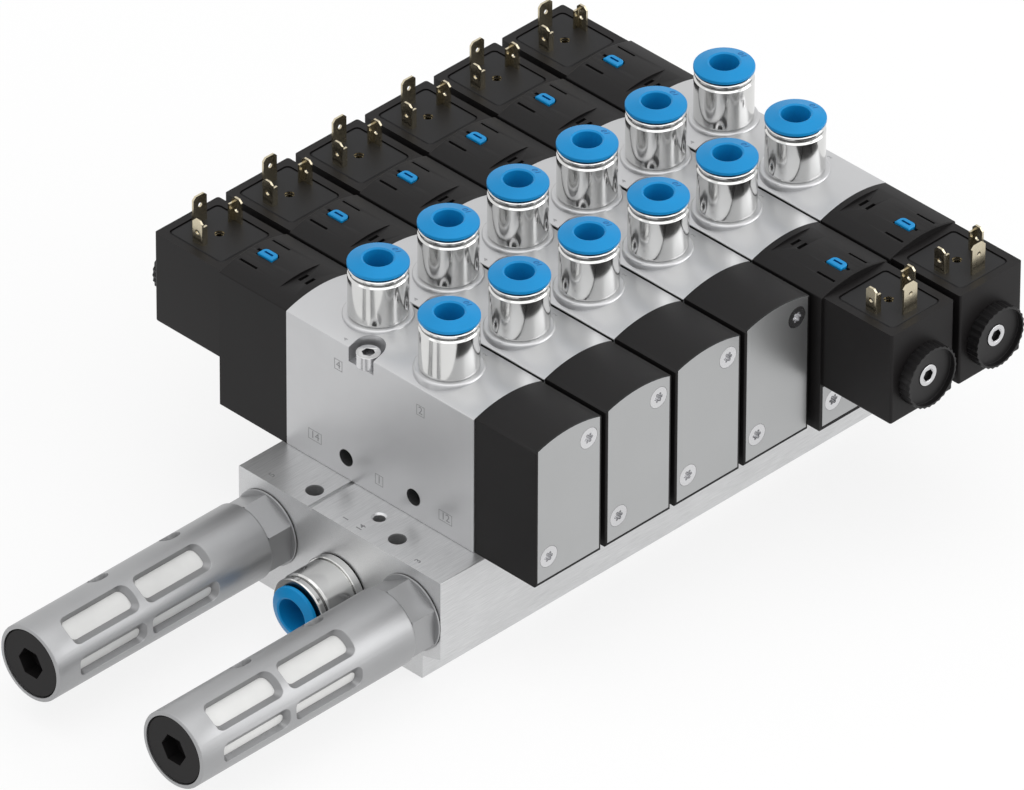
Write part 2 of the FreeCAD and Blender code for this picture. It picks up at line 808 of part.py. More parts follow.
def release_collar(outer, tube, start):
    # a flange under a low cone, with the sleeve that reaches down to the gripping ring
    inner = tube / 2
    sleeve = inner + sleeve_wall
    face = start + collar_edge
    foot = start - sleeve_reach
    collar = turned([
        (inner, foot), (sleeve, foot), (sleeve, start), (outer / 2, start), (outer / 2, face),
        (inner + 0.5, face + collar_dome), (inner, face + collar_dome - 0.3),
    ])
    rim = [edge for edge in collar.Edges if edge.BoundBox.XMax > outer / 2 - 0.01
           and edge.BoundBox.ZLength < 0.01]
    return collar.makeFillet(collar_edge_round, rim)


def port_fitting(x, y):
    shank = port_thread_diameter - 2 * thread_clearance
    outline = fitting_outline(fitting_diameter, fitting_height, neck_diameter, nose_diameter, nose_height,
                              port_tube_diameter, fitting_passage, shank, port_thread_depth - 1)
    return placed(turned(outline), (x, y, boss_top), upright)


def port_collar(x, y):
    collar = release_collar(collar_diameter, port_tube_diameter, collar_bottom)
    return placed(collar, (x, y, boss_top), upright)


def supply_base():
    return (-rail_end - end_seal_thickness, 0, supply_channel_height)


def supply_fitting():
    shank = rail_thread_diameter - 2 * thread_clearance
    outline = fitting_outline(supply_fitting_diameter, supply_fitting_length, supply_neck_diameter,
                              supply_nose_diameter, supply_nose_length, supply_tube_diameter,
                              supply_passage, shank, rail_thread_depth - 1)
    flange = supply_flange_diameter / 2
    groove = supply_fitting_diameter / 2 - supply_groove_depth
    rest = supply_flange_length + supply_groove_length
    keep = rail_thread_diameter / 2 - 1
    wide = flange + 1
    plate = turned([(keep, 0), (flange, 0), (flange, supply_flange_length), (keep, supply_flange_length)])
    cut = turned([(groove, supply_flange_length), (wide, supply_flange_length), (wide, rest), (groove, rest)])
    body = turned(outline).fuse(plate).cut(cut).removeSplitter()
    return placed(body, supply_base(), toward_left)


def supply_collar():
    collar = release_collar(supply_collar_diameter, supply_tube_diameter, supply_collar_start)
    return placed(collar, supply_base(), toward_left)


def end_seal(diameter, y, z):
    # a flat rubber ring between the rail's end and what is screwed into it
    hole = rail_thread_diameter / 2 + thread_clearance
    ring = turned([(hole, 0), (diameter / 2, 0), (diameter / 2, end_seal_thickness), (hole, end_seal_thickness)])
    return placed(ring, (-rail_end, y, z), toward_left)


def silencer_barrel_start():
    return end_seal_thickness + silencer_hex_length


def silencer_inside():
    return silencer_diameter / 2 - silencer_wall


def rounded_frame(half_length, low, high, level, corner):
    # a closed outline at one level, its length along X, with four round corners
    centres = [(half_length - corner, high - corner), (corner - half_length, high - corner),
               (corner - half_length, low + corner), (half_length - corner, low + corner)]
    arcs = []
    for step, (x, y) in enumerate(centres):
        spots = []
        for turn in (0, 45, 90):
            angle = math.radians(90 * step + turn)
            spots.append(FreeCAD.Vector(x + corner * math.cos(angle), y + corner * math.sin(angle), level))
        arcs.append(spots)
    edges = []
    for step in range(4):
        start, middle, end = arcs[step]
        edges.append(Part.Arc(start, middle, end).toShape())
        edges.append(Part.makeLine(end, arcs[(step + 1) % 4][0]))
    return Part.Wire(edges)


def silencer_window(high, length, angle, width, low_slope, high_slope, end_slope):
    # an opening through the wall that narrows inwards; angle is measured up from the front
    radius = silencer_diameter / 2
    edge_level = math.sqrt(radius ** 2 - (width / 2) ** 2)
    root_level = math.sqrt(silencer_inside() ** 2 - (width / 2) ** 2) - 0.3
    frames = []
    for level, corner in ((root_level, slot_root_corner), (radius + 0.5, slot_corner)):
        narrower = edge_level - level
        shorter = (radius - level) * end_slope
        frames.append(rounded_frame(length / 2 - shorter, -width / 2 + narrower * low_slope,
                                    width / 2 - narrower * high_slope, level, corner))
    window = Part.makeLoft(frames, True, True)
    lying = FreeCAD.Rotation(FreeCAD.Vector(0, 1, 0), 90)
    window = placed(window, (0, 0, high - length / 2), lying)
    window.rotate(FreeCAD.Vector(0, 0, 0), FreeCAD.Vector(0, 0, 1), angle - 90)
    return window


def silencer_windows():
    # two large windows and a small vent in each half of the casting, in every row
    windows = []
    for row in range(slot_rows):
        high = silencer_length - slot_from_front - row * slot_pitch
        vent_high = high - slot_length - vent_past_slot + vent_length
        for turn in (0, 180):
            windows.append(silencer_window(high, slot_length, upper_slot_angle + turn, upper_slot_width,
                                           slot_steep_slope, slot_plain_slope, slot_end_slope))
            windows.append(silencer_window(high, slot_length, lower_slot_angle + turn, lower_slot_width,
                                           slot_plain_slope, slot_steep_slope, slot_end_slope))
            windows.append(silencer_window(vent_high, vent_length, vent_angle + turn, vent_width,
                                           vent_slope, vent_slope, vent_slope))
    return windows


def silencer_housing(y, z):
    outer = silencer_diameter / 2
    inner = silencer_inside()
    start = silencer_barrel_start()
    bottom = start + silencer_wall
    plug_floor = silencer_length - plug_depth
    barrel = turned([
        (0, start), (outer, start), (outer, silencer_length), (plug_diameter / 2, silencer_length),
        (plug_diameter / 2, plug_floor), (inner, plug_floor), (inner, bottom), (0, bottom),
    ])
    for at_front, rounding in ((True, silencer_front_round), (False, silencer_rear_round)):
        level = silencer_length if at_front else start
        rim = [edge for edge in barrel.Edges if edge.BoundBox.XMax > outer - 0.01
               and abs(edge.BoundBox.ZMin - level) < 0.01 and abs(edge.BoundBox.ZMax - level) < 0.01]
        barrel = barrel.makeFillet(rounding, rim)
    for window in silencer_windows():
        barrel = barrel.cut(window)
    hexagon_part = hexagon(silencer_hex_flats, end_seal_thickness, start, 0)
    shank_end = end_seal_thickness - rail_thread_depth + 1
    shank = rod(rail_thread_diameter - 2 * thread_clearance, shank_end, end_seal_thickness, (0, 0, 0), upright)
    whole = barrel.fuse(hexagon_part).fuse(shank)
    whole = whole.cut(rod(channel_diameter, shank_end - 1, bottom + 1, (0, 0, 0), upright))
    return placed(whole.removeSplitter(), (-rail_end, y, z), toward_left)


def silencer_insert(y, z):
    outer = silencer_inside() - insert_clearance
    inner = outer - insert_wall
    low = silencer_barrel_start() + silencer_wall
    high = silencer_length - plug_depth
    tube = turned([(inner, low), (outer, low), (outer, high), (inner, high)])
    return placed(tube, (-rail_end, y, z), toward_left)


def silencer_plug(y, z):
    radius = plug_diameter / 2 - thread_clearance
    low = silencer_length - plug_depth
    high = silencer_length - plug_sunk
    plug = turned([(0, low), (radius, low), (radius, high - 0.5), (radius - 0.5, high), (0, high)])
    plug = plug.cut(hexagon(plug_hex_flats, high - plug_hex_depth, high + 1, 30))
    return placed(plug, (-rail_end, y, z), toward_left)


def blanking_plug(y, z):
    radius = blank_flange_diameter / 2
    shank = rail_thread_diameter / 2 - thread_clearance
    length = rail_thread_depth - 1
    top = blank_flange_thickness
    plug = turned([
        (0, -length), (shank, -length), (shank, 0), (radius, 0), (radius, top - 0.5), (radius - 0.5, top), (0, top),
    ])
    plug = plug.cut(hexagon(blank_hex_flats, top - blank_hex_depth, top + 1, 0))
    return placed(plug, (rail_end, y, z), toward_right)


def export(node, solids):
    solids = solids if isinstance(solids, list) else [solids]
    shape = solids[0] if len(solids) == 1 else Part.makeCompound(solids)
    assert shape.isValid(), node
    shape.exportStep("parts/" + node + ".step")
    print(node, len(shape.Solids), round(shape.Volume, 1))


numbers = range(1, valve_count + 1)
pilots = [("back", number, body_rear, 1) for number in numbers]
pilots += [("front", number, body_front, -1) for number in twin_solenoid_valves]
capped = [number for number in numbers if number not in twin_solenoid_valves]

export("manifold_rail", manifold_rail())
for number in numbers:
    export("valve_body_%d" % number, valve_body(number))
    export("spool_%d" % number, spool(number))
seals = [rail_gasket(number) for number in numbers]
seals += [end_seal(silencer_seal_diameter, y, z) for y, z in exhaust_places()]
seals.append(end_seal(supply_seal_diameter, 0, supply_channel_height))
export("seals", seals)
export("retaining_screws", [retaining_screw(x, y) for number in numbers for x, y in screw_places(number)])

for side, number, inner_y, outward in pilots:
    export("pilot_housing_%s_%d" % (side, number), pilot_housing(number, inner_y, outward))
    export("override_%s_%d" % (side, number), override_button(number, inner_y, outward))
for side in ("back", "front"):
    export("solenoid_coils_" + side, [solenoid_coil(*pilot[1:]) for pilot in pilots if pilot[0] == side])
export("armature_tubes", [armature_tube(*pilot[1:]) for pilot in pilots])
export("coil_nuts", [coil_nut(*pilot[1:]) for pilot in pilots])
export("contact_blades", [blade for pilot in pilots for blade in contact_blades(*pilot[1:], 0.0)])
export("contact_inserts", [contact_insert(*pilot[1:]) for pilot in pilots])

cap_face = body_front - cap_depth
export("end_caps", [end_cap(number) for number in capped])
plates = [cover_plate(number, cap_face, -1, False) for number in capped]
screws = []
for number in capped:
    screws += [plate_screw(x, z, cap_face, -1) for x, z in plate_screw_places(number, False)]
for side, number, inner_y, outward in pilots:
    face_y = inner_y + outward * pilot_depth
    plates.append(cover_plate(number, face_y, outward, True))
    screws += [plate_screw(x, z, face_y, outward) for x, z in plate_screw_places(number, True)]
export("cover_plates", plates)
export("plate_screws", screws)

fittings = []
for number in numbers:
    for row, (x, y) in port_places(number).items():
        fittings.append(port_fitting(x, y))
        export("collar_%s_%d" % (row, number), port_collar(x, y))
export("port_fittings", fittings)
export("supply_fitting", supply_fitting())
export("supply_collar", supply_collar())

for place, (y, z) in zip(("rear", "front"), exhaust_places()):
    export("silencer_housing_" + place, silencer_housing(y, z))
export("silencer_inserts", [silencer_insert(y, z) for y, z in exhaust_places()])
export("silencer_plugs", [silencer_plug(y, z) for y, z in exhaust_places()])
export("blanking_plugs", [blanking_plug(y, z) for y, z in channel_places()])
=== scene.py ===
import math

import bmesh
import bpy
from mathutils import Matrix, Vector


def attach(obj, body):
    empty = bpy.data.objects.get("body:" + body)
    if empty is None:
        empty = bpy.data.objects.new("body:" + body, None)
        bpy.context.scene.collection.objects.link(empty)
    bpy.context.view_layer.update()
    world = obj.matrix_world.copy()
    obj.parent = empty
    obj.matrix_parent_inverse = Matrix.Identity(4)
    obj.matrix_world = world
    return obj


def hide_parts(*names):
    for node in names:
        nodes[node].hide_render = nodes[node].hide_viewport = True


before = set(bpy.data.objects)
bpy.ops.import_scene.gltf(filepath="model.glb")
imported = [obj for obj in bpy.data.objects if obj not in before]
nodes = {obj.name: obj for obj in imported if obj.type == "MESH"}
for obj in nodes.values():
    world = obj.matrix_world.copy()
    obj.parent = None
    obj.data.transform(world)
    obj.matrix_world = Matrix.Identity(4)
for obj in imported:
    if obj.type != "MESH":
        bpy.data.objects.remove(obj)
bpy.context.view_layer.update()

mm = 0.001

# sizes are in mm and angles in degrees, unless a note says otherwise

island = {
    "valves": 6,
    "pitch": 33.0,                # from valve to valve
    "twinSolenoid": (5, 6),       # these have a front pilot too
    "bodyMiddle": 1.1,            # y of every valve's middle
    "portStagger": 2.56,          # rear port right of the valve's middle, front port left
    "portReach": 19.35,
    "screwStagger": 12.55,        # front screw right of the valve's middle, rear screw left
    "screwReach": 8.8,
    "bossTop": 101.0,
    "crest": 100.4,
    "crownRadius": 47.11,
    "rowEnd": 98.5,               # x of the first valve's open side
    "railEnd": 118.7,
    "railTop": 43.2,
    "silencerReach": 34.1,
    "silencerHeight": 24.8,
}
valveNumbers = range(1, island["valves"] + 1)
rows = (("rear", 1), ("front", -1))


def valveX(number):
    return (number - 1 - (island["valves"] - 1) / 2) * island["pitch"]


def portPlace(number, side):
    return (valveX(number) + side * island["portStagger"], island["bodyMiddle"] + side * island["portReach"],
            island["bossTop"])


def addObject(name, data):
    piece = bpy.data.objects.new(name, data)
    bpy.context.scene.collection.objects.link(piece)
    return piece


# finishes

texture = {
    "grainDetail": 4.0,
    "grainRoughness": 0.6,
    "bump": 0.6,
    "cloudScale": 60.0,           # slow variation from handling and casting, to the metre
    "cloudDetail": 3.0,
    "cloudRange": (0.30, 0.70),   # of the noise, between the darker and the lighter tone
    "streakRange": (0.35, 0.65),
    "drift": 0.05,
    "specular": 0.5,
    "stretch": (1.0, 1.0, 1.0),
}

finishes = {
    # roughness is uneven by this much over the grain, whose size and depth follow. Where they are given,
    # drift is of the colour over the surface, streaks are of the grain in the colour, and the key of the
    # openings names those whose walls are darkened as painted shade.
    "bodyAluminium": {"color": (0.55, 0.552, 0.56), "metallic": 0.8, "roughness": 0.34, "uneven": 0.06,
                      "grain": 0.35, "depth": 0.010, "drift": 0.02, "paintedShade": "sideBores"},
    "railAluminium": {"color": (0.64, 0.643, 0.648), "metallic": 0.75, "roughness": 0.38, "uneven": 0.10,
                      "grain": 0.22, "depth": 0.012, "drift": 0.03, "stretch": (0.03, 1.0, 1.0),
                      "streaks": 0.10, "paintedShade": "railBores"},
    "silencerAluminium": {"color": (0.37, 0.372, 0.378), "metallic": 0.8, "roughness": 0.42, "uneven": 0.06,
                          "grain": 0.45, "depth": 0.018, "drift": 0.03, "paintedShade": "silencerWindows"},
    "plateSteel": {"color": (0.43, 0.435, 0.437), "metallic": 0.85, "roughness": 0.36, "uneven": 0.06,
                   "grain": 0.16, "depth": 0.005, "drift": 0.012, "paintedShade": "plateRims"},
    "blackPlastic": {"color": (0.0088, 0.0080, 0.0082), "metallic": 0.0, "roughness": 0.48, "uneven": 0.08,
                     "grain": 0.30, "depth": 0.020, "specular": 0.18},
    "coilPlastic": {"color": (0.0090, 0.0080, 0.0082), "metallic": 0.0, "roughness": 0.44, "uneven": 0.06,
                    "grain": 0.50, "depth": 0.015, "specular": 0.17},
    "fieldPlastic": {"color": (0.0092, 0.0090, 0.0098), "metallic": 0.0, "roughness": 0.50, "uneven": 0.06,
                     "grain": 0.40, "depth": 0.015, "specular": 0.24},
    "nutPlastic": {"color": (0.0095, 0.0088, 0.0092), "metallic": 0.0, "roughness": 0.42, "uneven": 0.08,
                   "grain": 0.40, "depth": 0.015, "specular": 0.28},
    "polishedNickel": {"color": (0.68, 0.68, 0.67), "metallic": 1.0, "roughness": 0.13, "uneven": 0.04,
                       "grain": 0.30, "depth": 0.0010, "stretch": (1.0, 1.0, 6.0)},
    # a darker copy of polishedNickel: painted shade for the shadowed necks of the fittings
    "shadedNickel": {"color": (0.16, 0.16, 0.158), "metallic": 1.0, "roughness": 0.26, "uneven": 0.06,
                     "grain": 0.30, "depth": 0.0020},
    "bluePlastic": {"color": (0.006, 0.262, 0.595), "metallic": 0.0, "roughness": 0.36, "uneven": 0.05,
                    "grain": 0.60, "depth": 0.010, "specular": 0.22},
    "paleBrass": {"color": (0.60, 0.535, 0.395), "metallic": 1.0, "roughness": 0.24, "uneven": 0.08,
                  "grain": 0.25, "depth": 0.005, "stretch": (1.0, 1.0, 0.05)},
    "screwSteel": {"color": (0.64, 0.64, 0.65), "metallic": 1.0, "roughness": 0.22, "uneven": 0.08,
                   "grain": 0.20, "depth": 0.005},
    "socketScrewSteel": {"color": (0.64, 0.64, 0.65), "metallic": 1.0, "roughness": 0.22, "uneven": 0.08,
                         "grain": 0.20, "depth": 0.005, "paintedShade": "screwSockets"},
    # near-black: painted shade on the walls and floor of the tube ends' key openings
    "boreShadeDark": {"color": (0.010, 0.010, 0.010), "metallic": 0.3, "roughness": 0.50, "uneven": 0.08,
                  "grain": 0.20, "depth": 0.006, "specular": 0.3},
    "porousWhite": {"color": (0.74, 0.74, 0.73), "metallic": 0.0, "roughness": 0.92, "uneven": 0.05,
                    "grain": 0.28, "depth": 0.090, "specular": 0.2},
    "sealRubber": {"color": (0.007, 0.007, 0.007), "metallic": 0.0, "roughness": 0.62, "uneven": 0.08,
                   "grain": 0.50, "depth": 0.015, "specular": 0.06},
    "spoolAluminium": {"color": (0.42, 0.43, 0.45), "metallic": 0.9, "roughness": 0.30, "uneven": 0.06,
                       "grain": 0.30, "depth": 0.004, "stretch": (1.0, 6.0, 1.0)},
    "engravedGrey": {"color": (0.27, 0.27, 0.275), "metallic": 0.5, "roughness": 0.55, "uneven": 0.08,
                     "grain": 0.20, "depth": 0.010},
    # darker blue: the collars' moulded numbers, and painted shade on the walls and floor of the override
    # buttons' slots
    "darkBlueMarkAndSlotShade": {"color": (0.004, 0.10, 0.30), "metallic": 0.0, "roughness": 0.45, "uneven": 0.05,
                        "grain": 0.30, "depth": 0.010, "specular": 0.25},
}

paintedShadeHollows = {
    # painted shade in round openings: their axis, their places across it, their radius and their reach along
    # it.
    # The colour of the walls inside is scaled down to this tone, as painted shade.
    "sideBores": {"axis": "X", "spots": ((-14.9, 51.7), (17.1, 51.7)), "radius": 3.25,
                  "span": (-200.0, 200.0), "tone": 0.35},
    "railBores": {"axis": "Z", "radius": 3.3, "span": (0.5, 42.6), "tone": 0.75,
                  "spots": ((-110.8, -19.7), (-110.8, 19.7), (110.8, -19.7), (110.8, 19.7), (-106.3, -6.6))},
    "silencerWindows": {"axis": "X", "radius": 14.03, "span": (-228.6, -131.2), "tone": 0.74,
                        "spots": tuple((side * island["silencerReach"], island["silencerHeight"])
                                       for row, side in rows)},
    "screwSockets": {"axis": "Z", "radius": 2.45, "span": (93.0, 96.9), "tone": 0.45,
                     "spots": tuple((valveX(number) + side * island["screwStagger"],
                                     island["bodyMiddle"] - side * island["screwReach"])
                                    for number in valveNumbers for row, side in rows)},
    # painted shade on the cut edges of the thin plates: everything behind their outer faces
    "plateRims": {"axis": "Y", "spots": ((0.0, 60.0),), "radius": 400.0, "span": (-71.86, 77.86),
                  "tone": 0.06},
}


def setInputs(tree, node, inputs):
    # each socket gets a value or another node's output
    for label, source in inputs.items():
        if isinstance(source, bpy.types.NodeSocket):
            tree.links.new(source, node.inputs[label])
        else:
            node.inputs[label].default_value = source


def addNode(tree, kind, inputs, **settings):
    node = tree.nodes.new(kind)
    for label, value in settings.items():
        setattr(node, label, value)
    setInputs(tree, node, inputs)
    return node


def combine(tree, operation, first, second):
    return addNode(tree, "ShaderNodeMath", {0: first, 1: second}, operation=operation).outputs["Value"]


def scaledColor(tree, color, factor):
    return addNode(tree, "ShaderNodeVectorMath", {"Vector": color, "Scale": factor},
                   operation="SCALE").outputs["Vector"]


def insidePaintedShadeHollow(tree, place, spec):
    # the painted shade mask: 1 on the walls of the openings, 0 everywhere else
    parts = addNode(tree, "ShaderNodeSeparateXYZ", {"Vector": place}).outputs
    first, second = [letter for letter in "XYZ" if letter != spec["axis"]]
    across = addNode(tree, "ShaderNodeCombineXYZ", {"X": parts[first], "Y": parts[second]}).outputs["Vector"]
    inside = None
    for spot in spec["spots"]:
        reach = addNode(tree, "ShaderNodeVectorMath", {0: across, 1: (spot[0] * mm, spot[1] * mm, 0)},
                        operation="DISTANCE").outputs["Value"]
        near = combine(tree, "LESS_THAN", reach, spec["radius"] * mm)
        inside = near if inside is None else combine(tree, "MAXIMUM", inside, near)
    low, high = spec["span"]
    along = parts[spec["axis"]]
    inside = combine(tree, "MULTIPLY", inside, combine(tree, "GREATER_THAN", along, low * mm))
    return combine(tree, "MULTIPLY", inside, combine(tree, "LESS_THAN", along, high * mm))


def makeFinish(name, spec):
    # one shader with a fine grain: the same noise breaks up colour, gloss and surface
    material = bpy.data.materials.new(name)
    material.use_nodes = True
    tree = material.node_tree
    place = addNode(tree, "ShaderNodeTexCoord", {}).outputs["Object"]
    stretched = addNode(tree, "ShaderNodeMapping", {
        "Vector": place,
        "Scale": spec.get("stretch", texture["stretch"]),
    }).outputs["Vector"]
    grain = addNode(tree, "ShaderNodeTexNoise", {
        "Vector": stretched,
        "Scale": 1 / (spec["grain"] * mm),
        "Detail": texture["grainDetail"],
        "Roughness": texture["grainRoughness"],
    }).outputs["Fac"]
    cloud = addNode(tree, "ShaderNodeTexNoise", {
        "Vector": place,
        "Scale": texture["cloudScale"],
        "Detail": texture["cloudDetail"],
    }).outputs["Fac"]

    tone = addNode(tree, "ShaderNodeValToRGB", {"Fac": cloud})
    drift = spec.get("drift", texture["drift"])
    for stop, position, share in zip(tone.color_ramp.elements, texture["cloudRange"], (1 - drift, 1 + drift)):
        stop.position = position
        stop.color = tuple(part * share for part in spec["color"]) + (1,)
    color = tone.outputs["Color"]
    if "streaks" in spec:                                 # drawn or brushed lines
        low, high = texture["streakRange"]
        lines = addNode(tree, "ShaderNodeMapRange", {
            "Value": grain,
            "From Min": low,
            "From Max": high,
            "To Min": 1 - spec["streaks"],
            "To Max": 1 + spec["streaks"],
        })
        color = scaledColor(tree, color, lines.outputs["Result"])
    # painted shade: the colour on the walls of the named openings is scaled down to their tone
    if "paintedShade" in spec:
        opening = paintedShadeHollows[spec["paintedShade"]]
        paintedShadeScale = addNode(tree, "ShaderNodeMapRange", {
            "Value": insidePaintedShadeHollow(tree, place, opening),
            "To Min": 1.0,
            "To Max": opening["tone"],
        })
        color = scaledColor(tree, color, paintedShadeScale.outputs["Result"])

    gloss = addNode(tree, "ShaderNodeMapRange", {
        "Value": grain,
        "To Min": spec["roughness"] - spec["uneven"],
        "To Max": spec["roughness"] + spec["uneven"],
    })
    bump = addNode(tree, "ShaderNodeBump", {
        "Height": grain,
        "Strength": texture["bump"],
        "Distance": spec["depth"] * mm,
    })
    setInputs(tree, tree.nodes["Principled BSDF"], {
        "Metallic": spec["metallic"],
        "Specular IOR Level": spec.get("specular", texture["specular"]),
        "Base Color": color,
        "Roughness": gloss.outputs["Result"],
        "Normal": bump.outputs["Normal"],
    })
    return material


finish = {name: makeFinish(name, spec) for name, spec in finishes.items()}
print("finishes made:", len(finish))


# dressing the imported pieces

dressing = {
    # node name begins with: finish, edge radius; 0 only shades, None leaves the mesh as it is
    "manifold_rail": ("railAluminium", 0.30),
    "valve_body": ("bodyAluminium", 0),
    "spool": ("spoolAluminium", None),
    "seals": ("sealRubber", 0.12),
    "retaining_screws": ("socketScrewSteel", 0.20),
    "pilot_housing": ("blackPlastic", 0.22),
    "override": ("bluePlastic", 0.20),
    "solenoid_coils": ("coilPlastic", 0),
    "armature_tubes": ("screwSteel", 0.20),
    "coil_nuts": ("nutPlastic", 0.12),
    "contact_blades": ("paleBrass", 0.10),
    "contact_inserts": ("paleBrass", None),
    "end_caps": ("blackPlastic", 0.20),
    "cover_plates": ("plateSteel", 0),
    "plate_screws": ("screwSteel", None),
    "collar": ("bluePlastic", 0),
    "port_fittings": ("polishedNickel", 0),
    "supply_fitting": ("polishedNickel", 0),
    "supply_collar": ("bluePlastic", 0),
    "silencer_housing": ("silencerAluminium", 0),
    "silencer_inserts": ("porousWhite", None),
    "silencer_plugs": ("blackPlastic", 0),
    "blanking_plugs": ("polishedNickel", 0),
}

edges = {
    "sharp": 28.0,                # a sharper fold is a real edge
    "flat": 0.6,                  # faces within this angle are one face
    "merge": 0.002,
    "segments": 2,
}


def softenedShading():
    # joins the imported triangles' split corners and shades across everything but real edges
    group = bpy.data.node_groups.new("softenedShading", "GeometryNodeTree")
    for direction in ("INPUT", "OUTPUT"):
        group.interface.new_socket("Geometry", in_out=direction, socket_type="NodeSocketGeometry")
    start = addNode(group, "NodeGroupInput", {})
    merge = addNode(group, "GeometryNodeMergeByDistance", {
        "Geometry": start.outputs["Geometry"],
        "Distance": edges["merge"] * mm,
    })
    smoothFaces = addNode(group, "GeometryNodeSetShadeSmooth", {
        "Geometry": merge.outputs["Geometry"],
        "Shade Smooth": True,
    }, domain="FACE")
    angle = addNode(group, "GeometryNodeInputMeshEdgeAngle", {})
    blunt = addNode(group, "FunctionNodeCompare", {
        "A": angle.outputs["Unsigned Angle"],
        "B": math.radians(edges["sharp"]),
    }, data_type="FLOAT", operation="LESS_THAN")
    smoothEdges = addNode(group, "GeometryNodeSetShadeSmooth", {
        "Geometry": smoothFaces.outputs["Geometry"],
        "Shade Smooth": blunt.outputs["Result"],
    }, domain="EDGE")
    addNode(group, "NodeGroupOutput", {"Geometry": smoothEdges.outputs["Geometry"]})
    return group


softShading = softenedShading()


def smoothPiece(piece):
    shading = piece.modifiers.new("softenedShading", "NODES")
    shading.node_group = softShading


def roundEdges(piece, radius):
    plain = piece.modifiers.new("plainFaces", "DECIMATE")
    plain.decimate_type = "DISSOLVE"
    plain.angle_limit = math.radians(edges["flat"])
    bevel = piece.modifiers.new("roundedEdges", "BEVEL")
    bevel.width = radius * mm
    bevel.segments = edges["segments"]
    bevel.limit_method = "ANGLE"
    bevel.angle_limit = math.radians(edges["sharp"])
    bevel.use_clamp_overlap = True
    bevel.harden_normals = True
    bevel.miter_outer = "MITER_ARC"


def dress(node, name):
    for start, (finishName, radius) in dressing.items():
        if name.startswith(start):
            for slot in node.material_slots:
                slot.link = "OBJECT"
                slot.material = finish[finishName]
            if radius is not None:
                smoothPiece(node)
            if radius:
                roundEdges(node, radius)
            return
    raise ValueError("no finish for " + name)


for name, node in nodes.items():
    dress(node, name)
print("packed pieces dressed:", len(nodes))


# turned fittings and their release collars

# Outlines run anticlockwise: radius, height over the base, corner rounding. Shaded says between which
# heights and inside which radius the metal lies in a shadowed gap, and gets the darker shadedNickel as
# painted shade.

turning = {
    "steps": 128,                 # round the axis
    "cornerSteps": 4,             # in each rounded corner
}

portFitting = {
    "shaded": (16.22, 18.45, 9.86),
    "outline": ((4.0, -1.0, 0), (8.2, -1.0, 0), (8.2, 0.0, 0), (10.1, 0.0, 0.05), (10.45, 0.35, 0.2),
                (10.45, 15.55, 0.3), (9.85, 16.2, 0.25), (9.5, 16.2, 0.12), (9.5, 17.1, 0.12),
                (9.95, 17.1, 0.1), (10.3, 17.4, 0.2), (10.3, 18.05, 0.25), (9.9, 18.4, 0.25),
                (6.7, 18.4, 0.15), (6.6, 8.9, 0), (5.2, 8.9, 0), (5.2, 3.0, 0), (4.0, 3.0, 0)),
}

portCollar = {
    "outline": ((5.1, 9.7, 0), (6.3, 9.7, 0.2), (6.3, 19.2, 0.2), (10.6, 19.2, 0.25), (10.6, 20.5, 0.4),
                (5.75, 21.8, 0.35), (5.1, 21.45, 0.25)),
    "rim": (10.6, 20.5),          # the outer edge of the sloping face
    "fall": -0.268,               # of that face, outwards
}

supplyFitting = {
    "base": (-119.6, 0.0, 16.8),
    "shaded": (15.02, 18.35, 11.84),
    "outline": ((5.5, -1.0, 0), (10.2, -1.0, 0), (10.2, -0.5, 0), (12.9, -0.5, 0.05), (13.12, -0.3, 0.15),
                (13.12, 2.35, 0.2), (12.9, 2.6, 0.1), (12.0, 2.6, 0.05), (12.0, 3.0, 0.05),
                (12.5, 3.0, 0.2), (12.5, 14.4, 0.3), (11.9, 15.0, 0.25), (11.5, 15.0, 0.15),
                (11.5, 15.9, 0.15), (11.9, 15.9, 0.12), (12.2, 16.2, 0.2), (12.2, 17.95, 0.3),
                (11.85, 18.3, 0.3), (7.8, 18.3, 0.2), (7.7, 8.8, 0), (6.3, 8.8, 0), (6.3, 3.0, 0),
                (5.5, 3.0, 0)),
}

supplyCollar = {
    "outline": ((6.2, 9.6, 0), (7.4, 9.6, 0.2), (7.4, 19.1, 0.2), (10.2, 19.1, 0.25), (10.2, 20.4, 0.4),
                (6.85, 21.7, 0.35), (6.2, 21.35, 0.25)),
}

washer = {
    # the metal faces of the silencers' seals
    "outline": ((10.5, 0.35, 0), (14.15, 0.35, 0.05), (14.15, 0.95, 0.2), (10.5, 0.95, 0)),
}


def roundedOutline(corners):
    # short runs of the outline, each with its two ends and the metal's outward direction at both
    fillets = []
    for index, (radius, height, rounding) in enumerate(corners):
        spot = Vector((radius, height))
        before = Vector(corners[index - 1][:2])
        after = Vector(corners[(index + 1) % len(corners)][:2])
        come = (spot - before).normalized()
        leave = (after - spot).normalized()
        facing = Vector((come.y, -come.x))
        bend = math.atan2(come.cross(leave), come.dot(leave))
        if not rounding:
            fillets.append([(spot, facing)])
            continue
        reach = rounding * math.tan(abs(bend) / 2)
        side = math.copysign(1, bend)
        middle = spot - come * reach - facing * rounding * side
        arc = []
        for step in range(turning["cornerSteps"] + 1):
            turn = bend * step / turning["cornerSteps"]
            out = Vector((facing.x * math.cos(turn) - facing.y * math.sin(turn),
                          facing.x * math.sin(turn) + facing.y * math.cos(turn)))
            arc.append((middle + out * rounding * side, out))
        fillets.append(arc)
    runs = []
    for index, arc in enumerate(fillets):
        for (low, lowOut), (high, highOut) in zip(arc, arc[1:]):
            runs.append((low, lowOut, high, highOut))
        start = arc[-1][0]
        end = fillets[(index + 1) % len(fillets)][0][0]
        along = (end - start).normalized()
        out = Vector((along.y, -along.x))
        runs.append((start, out, end, out))
    return runs


